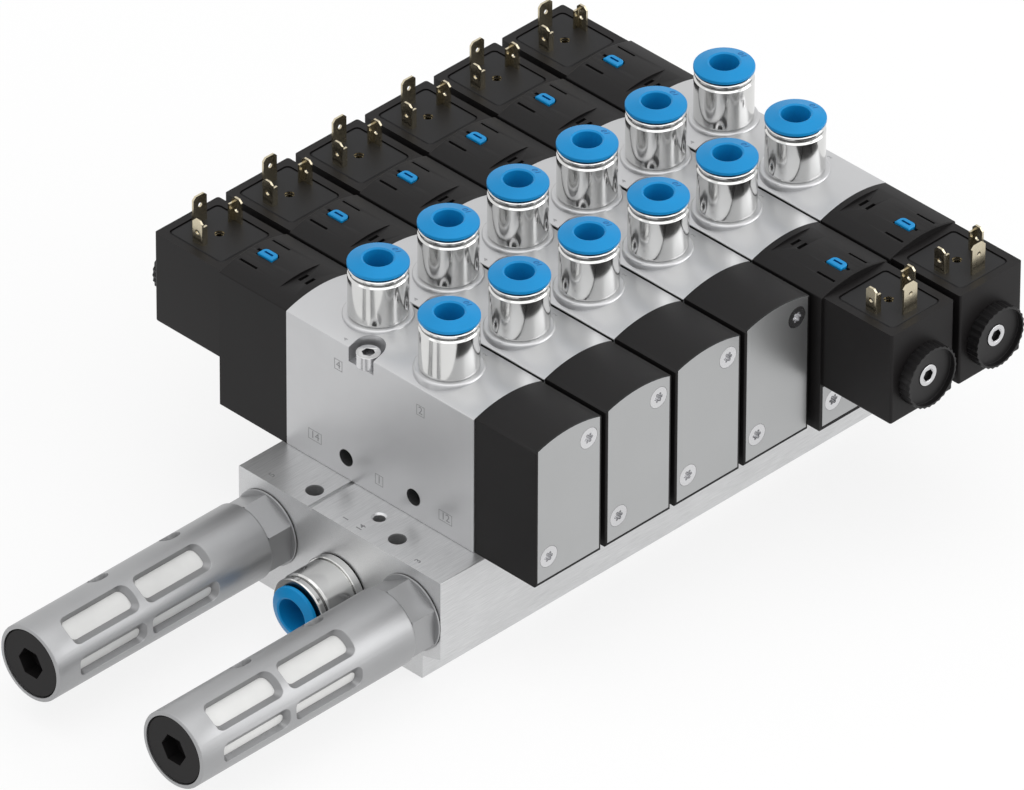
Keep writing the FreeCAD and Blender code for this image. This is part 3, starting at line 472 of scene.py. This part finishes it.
def turnedPiece(name, outline, base, axis, finishName, shaded=None):
    runs = roundedOutline(outline)
    count = len(runs)
    steps = turning["steps"]
    axis = Vector(axis)
    across = axis.orthogonal().normalized()
    frameTurn = Matrix((across, axis.cross(across), axis)).transposed()
    arounds = []
    for step in range(steps + 1):
        turn = 2 * math.pi * step / steps
        arounds.append(Vector((math.cos(turn), math.sin(turn), 0)))
    places = []
    faces = []
    facing = []
    for step, (around, ahead) in enumerate(zip(arounds, arounds[1:])):
        after = (step + 1) % steps
        for index, (low, lowOut, high, highOut) in enumerate(runs):
            up = (index + 1) % count
            places.append((frameTurn @ (around * low.x + Vector((0, 0, low.y))) + Vector(base)) * mm)
            faces.append((step * count + index, after * count + index, after * count + up, step * count + up))
            for direction, out in ((around, lowOut), (ahead, lowOut), (ahead, highOut), (around, highOut)):
                facing.append(frameTurn @ (direction * out.x + Vector((0, 0, out.y))))
    mesh = bpy.data.meshes.new(name)
    mesh.from_pydata(places, [], faces)
    mesh.polygons.foreach_set("use_smooth", [True] * len(faces))
    mesh.normals_split_custom_set(facing)
    mesh.materials.append(finish[finishName])
    # the runs in the shadowed gap take the darker finish: painted shade
    if shaded:
        low, high, widest = shaded
        mesh.materials.append(finish["shadedNickel"])
        dark = [int(low < start.y < high and low < end.y < high and max(start.x, end.x) < widest)
                for start, startOut, end, endOut in runs]
        mesh.polygons.foreach_set("material_index", dark * steps)
    return addObject(name, mesh)


for row, side in rows:
    for number in valveNumbers:
        piece = turnedPiece("portFitting_%s_%d" % (row, number), portFitting["outline"],
                            portPlace(number, side), (0, 0, 1), "polishedNickel", portFitting["shaded"])
        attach(piece, "island")
        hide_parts("port_fittings")
        collarNode = "collar_%s_%d" % (row, number)
        piece = turnedPiece("releaseCollar_%s_%d" % (row, number), portCollar["outline"],
                            portPlace(number, side), (0, 0, 1), "bluePlastic")
        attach(piece, collarNode)
        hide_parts(collarNode)

piece = turnedPiece("supplyFittingBody", supplyFitting["outline"], supplyFitting["base"], (-1, 0, 0),
                    "polishedNickel", supplyFitting["shaded"])
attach(piece, "island")
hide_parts("supply_fitting")
piece = turnedPiece("supplyReleaseCollar", supplyCollar["outline"], supplyFitting["base"], (-1, 0, 0),
                    "bluePlastic")
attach(piece, "supply_collar")
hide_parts("supply_collar")

for row, side in rows:
    base = (-island["railEnd"], side * island["silencerReach"], island["silencerHeight"])
    piece = turnedPiece("silencerWasher_" + row, washer["outline"], base, (-1, 0, 0), "silencerAluminium")
    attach(piece, "island")
print("fittings turned")


# moulded and engraved numbers

marks = {
    "depth": 0.03,                # how far a number stands off its surface
    "side": {                     # faint boxed numbers on the first valve's open side
        "size": 4.2,
        "spots": (("4", 20.7, 87.9), ("14", 32.0, 53.1), ("2", -18.2, 88.6), ("1", 1.4, 50.4),
                  ("12", -30.0, 51.0)),   # y, z
        "halfDigit": (0.30, 0.36),        # width and height, to the size
        "boxMargin": 0.6,
        "line": 0.2,
    },
    "railEnd": {
        "size": 3.4,
        "weight": 0.06,
        "spots": (("3", -33.5), ("14", -6.4), ("1", 0.7), ("5", 36.0)),    # y
        "fromEnd": 3.9,
    },
    "collar": {
        "size": 3.4,
        "text": "10",
        "reach": 8.0,
        "angle": -6.5,
        "depth": 0.10,
        "sunk": 0.05,
    },
    "crown": {
        "size": 2.4,
        "spots": (("4", -14.1, 19.1), ("2", 12.0, -20.6)),    # x from the valve's middle, y
    },
}


def textMesh(name, text, size, depth, weight=0.0):
    curve = bpy.data.curves.new(name, "FONT")
    curve.body = text
    curve.size = size * mm
    curve.align_x = "CENTER"
    curve.align_y = "CENTER"
    curve.extrude = depth * mm
    curve.offset = weight * mm    # thicker strokes
    curve.resolution_u = 3
    holder = addObject(name + "Text", curve)
    mesh = bpy.data.meshes.new_from_object(holder)
    bpy.data.objects.remove(holder)
    return mesh


def addBlock(work, corners, axis, amount):
    # a flat face drawn out along one axis
    face = work.faces.new([work.verts.new([part * mm for part in corner]) for corner in corners])
    for vert in bmesh.ops.extrude_face_region(work, geom=[face])["geom"]:
        if isinstance(vert, bmesh.types.BMVert):
            vert.co[axis] += amount * mm


def closedMesh(name, work):
    mesh = bpy.data.meshes.new(name)
    bmesh.ops.recalc_face_normals(work, faces=work.faces[:])
    work.to_mesh(mesh)
    work.free()
    return mesh


def frameMesh(name, width, height, line, depth):
    # a thin rectangular outline round a number, given half its width and height
    work = bmesh.new()
    bars = (
        (-width, height - line, width, height),
        (-width, -height, width, line - height),
        (-width, -height, line - width, height),
        (width - line, -height, width, height),
    )
    for left, foot, right, top in bars:
        addBlock(work, ((left, foot, 0), (right, foot, 0), (right, top, 0), (left, top, 0)), 2, depth)
    return closedMesh(name, work)


def setPiece(name, mesh, place, right, upward, body, coats):
    # the mesh lies in the plane of right and upward, with its face outwards
    right = Vector(right).normalized()
    upward = Vector(upward).normalized()
    out = right.cross(upward)
    turn = Matrix((right, upward, out)).transposed().to_4x4()
    mesh.transform(Matrix.Translation(Vector(place) * mm) @ turn)
    for coat in coats:
        mesh.materials.append(finish[coat])
    piece = addObject(name, mesh)
    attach(piece, body)
    return piece


def crownHeight(distance):
    radius = island["crownRadius"]
    return island["crest"] - radius + math.sqrt(radius ** 2 - distance ** 2)


spec = marks["side"]
for text, y, z in spec["spots"]:
    name = "sideMark" + text
    spot = (-island["rowEnd"], y, z)
    mesh = textMesh(name, text, spec["size"], marks["depth"])
    setPiece(name, mesh, spot, (0, -1, 0), (0, 0, 1), "island", ("engravedGrey",))
    digitWidth, digitHeight = spec["halfDigit"]
    width = spec["size"] * (digitWidth * len(text)) + spec["boxMargin"]
    height = spec["size"] * digitHeight + spec["boxMargin"]
    mesh = frameMesh(name + "Box", width, height, spec["line"], marks["depth"])
    setPiece(name + "Box", mesh, spot, (0, -1, 0), (0, 0, 1), "island", ("engravedGrey",))

spec = marks["railEnd"]
for text, y in spec["spots"]:
    spot = (-island["railEnd"] + spec["fromEnd"], y, island["railTop"])
    mesh = textMesh("railMark" + text, text, spec["size"], marks["depth"], spec["weight"])
    setPiece("railMark" + text, mesh, spot, (1, 0, 0), (0, 1, 0), "island", ("engravedGrey",))

spec = marks["collar"]
turn = math.radians(spec["angle"])
out = Vector((math.cos(turn), math.sin(turn), 0))
downhill = Vector((out.x, out.y, portCollar["fall"]))
along = Vector((0, 0, 1)).cross(out)
rimRadius, rimHeight = portCollar["rim"]
for row, side in rows:
    for number in valveNumbers:
        x, y, bossTop = portPlace(number, side)
        spot = Vector((x, y, 0)) + out * spec["reach"]
        spot.z = bossTop + rimHeight - portCollar["fall"] * (rimRadius - spec["reach"]) - spec["sunk"]
        mesh = textMesh("sizeMark", spec["text"], spec["size"], spec["depth"])
        setPiece("tubeSize_%s_%d" % (row, number), mesh, spot, along, -downhill,
                 "collar_%s_%d" % (row, number), ("darkBlueMarkAndSlotShade",))

spec = marks["crown"]
for number in valveNumbers:
    for text, across, y in spec["spots"]:
        spot = (valveX(number) + across, y, crownHeight(across))
        slope = -across / math.sqrt(island["crownRadius"] ** 2 - across ** 2)
        mesh = textMesh("portMark", text, spec["size"], marks["depth"])
        setPiece("portMark_%d_%s" % (number, text), mesh, spot, (1, 0, slope), (0, 1, 0), "island",
                 ("engravedGrey",))
print("numbers set")


# painted shade: near-black strips in the gaps between the valves

gapShade = {
    "width": 0.96,
    "low": 88.0,
    "high": 97.55,                # just under the edges of the crowns
    "edge": 0.2,
    "runs": ((-43.2, -13.7), (-1.7, 3.9), (15.9, 45.4)),      # y, clear of the screw notches
}


def stripMesh(name, spec, start, end):
    # a long bar with a rounded upper side
    half = spec["width"] / 2
    low = spec["low"]
    high = spec["high"]
    edge = spec["edge"]
    outline = ((-half, low), (half, low), (half, high - edge), (half - edge, high), (edge - half, high),
               (-half, high - edge))
    work = bmesh.new()
    addBlock(work, [(x, start, z) for x, z in outline], 1, end - start)
    return closedMesh(name, work)


for number in valveNumbers[:-1]:
    for index, (start, end) in enumerate(gapShade["runs"]):
        name = "gapShadeStrip_%d_%d" % (number, index + 1)
        # each near-black strip is painted shade in the gap
        setPiece(name, stripMesh(name, gapShade, start, end), (valveX(number) + island["pitch"] / 2, 0, 0),
                 (1, 0, 0), (0, 1, 0), "island", ("sealRubber",))
print("gapShadeStrips filled")


# contact fields, override buttons and tube ends

coilRows = {
    # which way the row points, middle of the coils, outer end of the coils, middle of the buttons
    "back": {"valves": valveNumbers, "outward": 1, "middle": 93.9, "end": 109.9, "button": 70.1},
    "front": {"valves": island["twinSolenoid"], "outward": -1, "middle": -91.7, "end": -107.7,
              "button": -67.9},
}

contactField = {
    "width": 22.8,                # the plateau inside the coil's sunk field, which leaves a groove round it
    "length": 25.0,
    "corner": 1.4,
    "low": 96.95,
    "high": 97.5,
    "edge": 0.3,
    "hole": 1.72,
}

button = {
    "length": 6.7,
    "width": 4.1,
    "corner": 1.9,                # on the +X side only
    "low": 94.1,
    "high": 101.0,
    "edge": 0.3,
    "slotLength": 3.9,
    "slotWidth": 0.9,
    "slotCorner": 0.1,
    "slotFloor": 100.3,
}

tubeEnd = {
    "outer": 2.42,
    "star": (2.12, 0.1),          # middle radius of the key's opening and how far its lobes reach
    "low": -1.6,                  # from the tube's end
    # the opening's walls and floor are near-black as painted shade of the deep bore
    "floor": -1.5,
    "high": -0.15,
    "edge": 0.08,
    "tubeOverCoil": 2.9,
    "height": 75.8,
}

lobeCount = 6


def cornered(width, length, corners, cornerSteps=6):
    # an oblong outline, anticlockwise, with the radii of its four corners from +x+y on
    outline = []
    for index, radius in enumerate(corners):
        sideX = 1 if index in (0, 3) else -1
        sideY = 1 if index in (0, 1) else -1
        middle = (sideX * (width / 2 - radius), sideY * (length / 2 - radius))
        steps = cornerSteps if radius else 0
        for step in range(steps + 1):
            turn = math.pi / 2 * (index + (step / steps if steps else 0))
            outline.append((middle[0] + radius * math.cos(turn), middle[1] + radius * math.sin(turn)))
    return outline


def ringOutline(radius, lobes=0.0, steps=48):
    outline = []
    for step in range(steps):
        turn = 2 * math.pi * step / steps
        reach = radius + lobes * math.cos(lobeCount * turn)
        outline.append((reach * math.cos(turn), reach * math.sin(turn)))
    return outline


def plateMesh(name, wide, narrow, hole, spec, floor=None):
    # a plate with a softened rim and one opening, which has a floor where floor is given
    work = bmesh.new()

    def ring(outline, height):
        return [work.verts.new((x * mm, y * mm, height * mm)) for x, y in outline]

    def band(lower, upper, material=0):
        for index in range(len(lower)):
            after = (index + 1) % len(lower)
            face = work.faces.new((lower[index], lower[after], upper[after], upper[index]))
            face.material_index = material

    foot = ring(wide, spec["low"])
    shoulder = ring(wide, spec["high"] - spec["edge"])
    top = ring(narrow, spec["high"])
    mouth = ring(hole, spec["high"])
    bottom = ring(hole, spec["low"] if floor is None else floor)
    band(foot, shoulder)
    band(shoulder, top)
    band(mouth, bottom, 1)
    if floor is not None:
        work.faces.new(bottom).material_index = 1
    rims = []
    for loop in (top, mouth):
        for index in range(len(loop)):
            rims.append(work.edges.get((loop[index], loop[(index + 1) % len(loop)])))
    bmesh.ops.triangle_fill(work, use_beauty=True, use_dissolve=False, edges=rims)
    return closedMesh(name, work)


def fieldMesh(spec):
    corners = (spec["corner"],) * 4
    slim = 2 * spec["edge"]
    wide = cornered(spec["width"], spec["length"], corners)
    narrow = cornered(spec["width"] - slim, spec["length"] - slim, corners)
    return plateMesh("contactField", wide, narrow, ringOutline(spec["hole"]), spec)


def buttonMesh(spec):
    corner = spec["corner"]
    inner = corner - spec["edge"]
    slim = 2 * spec["edge"]
    wide = cornered(spec["width"], spec["length"], (corner, 0, 0, corner))
    narrow = cornered(spec["width"] - slim, spec["length"] - slim, (inner, 0, 0, inner))
    slot = cornered(spec["slotWidth"], spec["slotLength"], (spec["slotCorner"],) * 4, cornerSteps=2)
    return plateMesh("overrideButton", wide, narrow, slot, spec, spec["slotFloor"])


def tubeEndMesh(spec):
    return plateMesh("tubeEnd", ringOutline(spec["outer"]), ringOutline(spec["outer"] - spec["edge"]),
                     ringOutline(*spec["star"]), spec, spec["floor"])


for row, spec in coilRows.items():
    outward = spec["outward"]
    for number in spec["valves"]:
        x = valveX(number)
        piece = setPiece("contactField_%s_%d" % (row, number), fieldMesh(contactField),
                         (x, spec["middle"], 0), (1, 0, 0), (0, 1, 0), "island",
                         ("fieldPlastic", "paleBrass"))
        smoothPiece(piece)

        node = "override_%s_%d" % (row, number)
        # the slot's walls and floor take the darker blue as painted shade
        piece = setPiece("overrideButton_%s_%d" % (row, number), buttonMesh(button), (x, spec["button"], 0),
                         (1, 0, 0), (0, 1, 0), node, ("bluePlastic", "darkBlueMarkAndSlotShade"))
        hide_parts(node)
        smoothPiece(piece)

        place = (x, spec["end"] + outward * tubeEnd["tubeOverCoil"], tubeEnd["height"])
        # the key opening is lined near-black as painted shade
        piece = setPiece("tubeEnd_%s_%d" % (row, number), tubeEndMesh(tubeEnd), place, (-outward, 0, 0),
                         (0, 0, 1), "island", ("screwSteel", "boreShadeDark"))
        smoothPiece(piece)
print("coil and pilot details set")


# camera

cameraView = {
    "azimuth": -45.18,            # 0 looks along +Y
    "elevation": 35.256,
    "roll": -0.218,
    "lens": 591.8,
    "sensor": 36.0,
    "aim": (-79.94, 20.4, 120.96),    # the first valve's rear collar
    "shiftRight": -44.556,        # how far the aim lies from the view's axis
    "shiftUp": 44.424,
    "distance": 5611.08,
    "clip": (0.1, 60.0),          # m
}


def makeCamera(spec):
    azimuth = math.radians(spec["azimuth"])
    elevation = math.radians(spec["elevation"])
    roll = math.radians(spec["roll"])
    back = Vector((math.sin(azimuth) * math.cos(elevation), -math.cos(azimuth) * math.cos(elevation),
                   math.sin(elevation)))
    right = Vector((math.cos(azimuth), math.sin(azimuth), 0.0))
    up = back.cross(right)
    rolledRight = right * math.cos(roll) - up * math.sin(roll)
    rolledUp = right * math.sin(roll) + up * math.cos(roll)
    spot = Vector(spec["aim"]) - rolledRight * spec["shiftRight"] - rolledUp * spec["shiftUp"]
    spot += back * spec["distance"]
    data = bpy.data.cameras.new("photoCamera")
    data.lens = spec["lens"]
    data.sensor_width = spec["sensor"]
    data.clip_start, data.clip_end = spec["clip"]
    camera = addObject("photoCamera", data)
    turn = Matrix((rolledRight, rolledUp, back)).transposed().to_4x4()
    camera.matrix_world = Matrix.Translation(spot * mm) @ turn
    bpy.context.scene.camera = camera


makeCamera(cameraView)
print("camera set")


# floor, world and lamps

studio = {
    "floorSize": 14.0,            # m
    "floorDrop": 0.2,             # keeps it just clear of the rail's foot
    "floorColor": 0.86,           # in the light that it throws back on to the island
    "floorGlow": 0.80,            # of the white that is seen, so that the shadow stays soft
    "worldStrength": 0.62,
    "lampAim": (-0.03, 0.0, 0.06),
    "lamps": (
        # name, place (m), size (m), power (W)
        ("frontLamp", (1.45, -1.95, 0.90), (2.6, 1.7), 27.0),
        ("leftLamp", (-2.2, 0.6, 1.3), (1.4, 1.2), 3.2),
        ("topLamp", (-0.3, -0.5, 3.0), (4.0, 4.0), 40.0),
    ),
}


def grey(amount):
    return (amount, amount, amount, 1)


def seenOrLit(tree, seen, lit):
    # one shader for rays from the camera and for mirror and glass rays, another for light on things
    path = addNode(tree, "ShaderNodeLightPath", {}).outputs
    either = combine(tree, "MAXIMUM", path["Is Camera Ray"], path["Is Glossy Ray"])
    factor = combine(tree, "MAXIMUM", either, path["Is Transmission Ray"])
    return addNode(tree, "ShaderNodeMixShader", {"Fac": factor, 1: lit, 2: seen}).outputs["Shader"]


def makeWorld(spec):
    world = bpy.data.worlds.new("studioWorld")
    bpy.context.scene.world = world
    world.use_nodes = True
    tree = world.node_tree
    tree.nodes.clear()
    white = addNode(tree, "ShaderNodeBackground", {"Color": grey(1), "Strength": 1.0})
    soft = addNode(tree, "ShaderNodeBackground", {"Color": grey(1), "Strength": spec["worldStrength"]})
    surface = seenOrLit(tree, white.outputs["Background"], soft.outputs["Background"])
    addNode(tree, "ShaderNodeOutputWorld", {"Surface": surface})


def makeFloor(spec):
    half = spec["floorSize"] / 2
    mesh = bpy.data.meshes.new("studioFloor")
    mesh.from_pydata([(-half, -half, 0), (half, -half, 0), (half, half, 0), (-half, half, 0)], [],
                     [(0, 1, 2, 3)])
    floor = addObject("studioFloor", mesh)
    floor.location.z = -spec["floorDrop"] * mm
    material = bpy.data.materials.new("palePaper")
    material.use_nodes = True
    tree = material.node_tree
    tree.nodes.clear()
    paper = addNode(tree, "ShaderNodeBsdfDiffuse", {"Color": grey(spec["floorColor"])})
    shaded = addNode(tree, "ShaderNodeBsdfDiffuse", {"Color": grey(1 - spec["floorGlow"])})
    glow = addNode(tree, "ShaderNodeEmission", {"Strength": spec["floorGlow"]})
    both = addNode(tree, "ShaderNodeAddShader", {0: shaded.outputs["BSDF"], 1: glow.outputs["Emission"]})
    surface = seenOrLit(tree, both.outputs["Shader"], paper.outputs["BSDF"])
    addNode(tree, "ShaderNodeOutputMaterial", {"Surface": surface})
    mesh.materials.append(material)


def makeLamps(spec):
    target = Vector(spec["lampAim"])
    for name, place, size, power in spec["lamps"]:
        data = bpy.data.lights.new(name, "AREA")
        data.shape = "RECTANGLE"
        data.size, data.size_y = size
        data.energy = power
        lamp = addObject(name, data)
        lamp.location = place
        lamp.rotation_euler = (target - Vector(place)).to_track_quat("-Z", "Y").to_euler()


makeWorld(studio)
makeFloor(studio)
makeLamps(studio)
print("studio set")

bpy.context.scene.view_settings.view_transform = "Standard"
